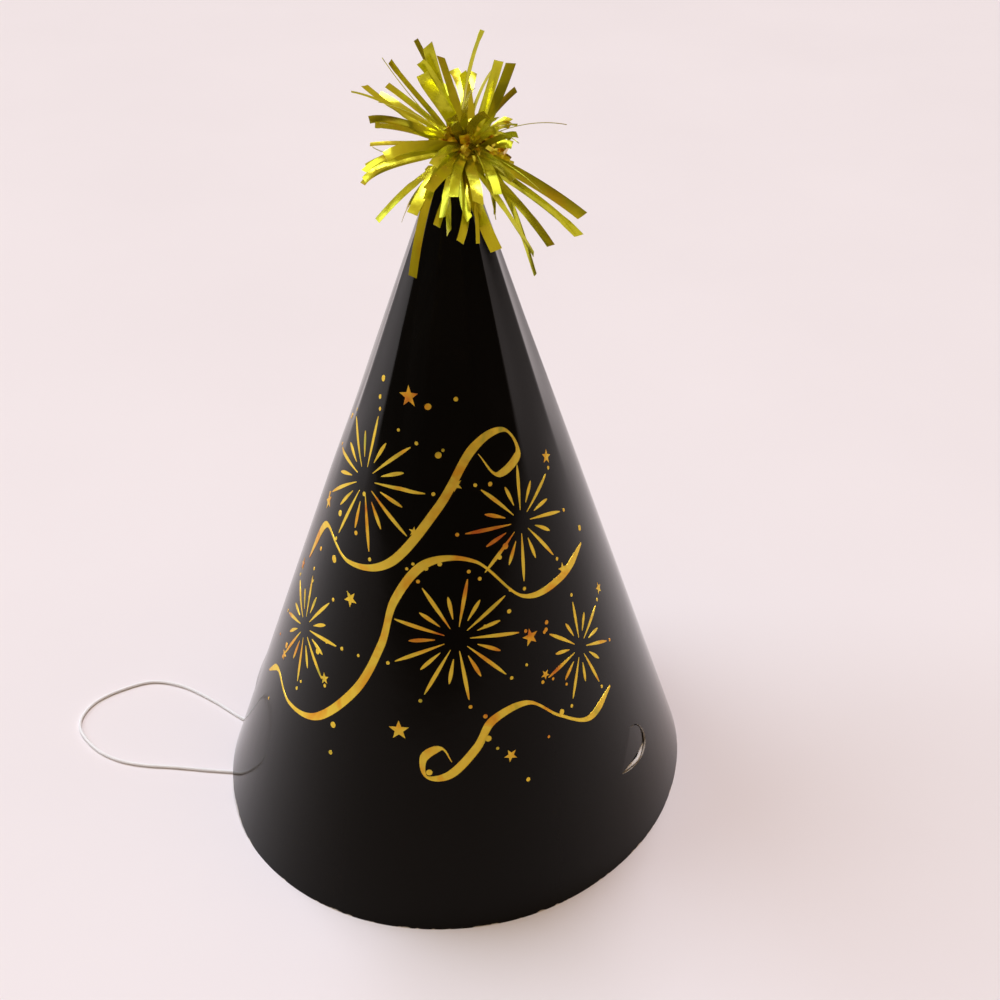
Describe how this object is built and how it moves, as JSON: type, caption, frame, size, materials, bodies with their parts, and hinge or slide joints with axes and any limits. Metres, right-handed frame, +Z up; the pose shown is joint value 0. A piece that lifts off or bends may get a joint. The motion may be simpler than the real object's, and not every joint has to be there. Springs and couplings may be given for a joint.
{
  "type": "party hat",
  "caption": "Gloss black rolled-card cone party hat with a gold tinsel pom-pom wired through its tip and a thin chin elastic held in die-cut side slots.",
  "frame": {"origin": "middle of the open base, on the plane that the rim stands on", "axes": "+Z up the cone's axis, -Y the printed front, +Y the glued seam, +X and -X the two elastic slots"},
  "size_m": [0.1548, 0.1264, 0.1892],
  "materials": {
    "card": "gloss black laminated front, plain white back",
    "tape": "clear double-sided tape",
    "elastic": "matt white round elastic",
    "wire": "bright thin wire",
    "tinsel": "mirror-bright metallised gold film",
    "foil": "hot-stamped gold foil decoration on the printed face"
  },
  "bodies": {
    "cone": {"cone_shell": "card", "seam_tape": "tape", "elastic_cord": "elastic", "left_elastic_eye": "elastic", "left_elastic_knot": "elastic", "right_elastic_eye": "elastic", "right_elastic_knot": "elastic"},
    "right_flap": {"right_slot_flap": "card"},
    "left_flap": {"left_slot_flap": "card"},
    "wire": {"tie_wire": "wire"},
    "pom_pom": {"tinsel_waist": "tinsel", "tinsel_tuft_01": "tinsel", "tinsel_tuft_02": "tinsel", "tinsel_tuft_03": "tinsel", "tinsel_tuft_04": "tinsel", "tinsel_tuft_05": "tinsel", "tinsel_tuft_06": "tinsel", "tinsel_tuft_07": "tinsel", "tinsel_tuft_08": "tinsel", "tinsel_tuft_09": "tinsel", "tinsel_tuft_10": "tinsel", "tinsel_tuft_11": "tinsel", "tinsel_tuft_12": "tinsel", "tinsel_tuft_13": "tinsel", "tinsel_tuft_14": "tinsel", "tinsel_tuft_15": "tinsel", "tinsel_tuft_16": "tinsel", "tinsel_tuft_17": "tinsel", "tinsel_tuft_18": "tinsel", "tinsel_tuft_19": "tinsel"}
  },
  "joints": [
    {"name": "right_flap_fold", "type": "hinge", "parent": "cone", "child": "right_flap", "pos_m": [0.04747, -0.01286, 0.02282], "axis": [-0.0607, 0.7633, 0.6432], "range_deg": [-30, 25]},
    {"name": "left_flap_fold", "type": "hinge", "parent": "cone", "child": "left_flap", "pos_m": [-0.04747, -0.01286, 0.02282], "axis": [-0.0607, -0.7633, -0.6432], "range_deg": [-20, 45]},
    {"name": "pom_spin", "type": "hinge", "parent": "cone", "child": "wire", "pos_m": [0, 0, 0.157], "axis": [0, 0, 1], "range_deg": [-90, 90]},
    {"name": "pom_roll", "type": "hinge", "parent": "wire", "child": "pom_pom", "pos_m": [0.0036, -0.0014, 0.1637], "axis": [1, 0, 0], "range_deg": [-7, 12]}
  ]
}
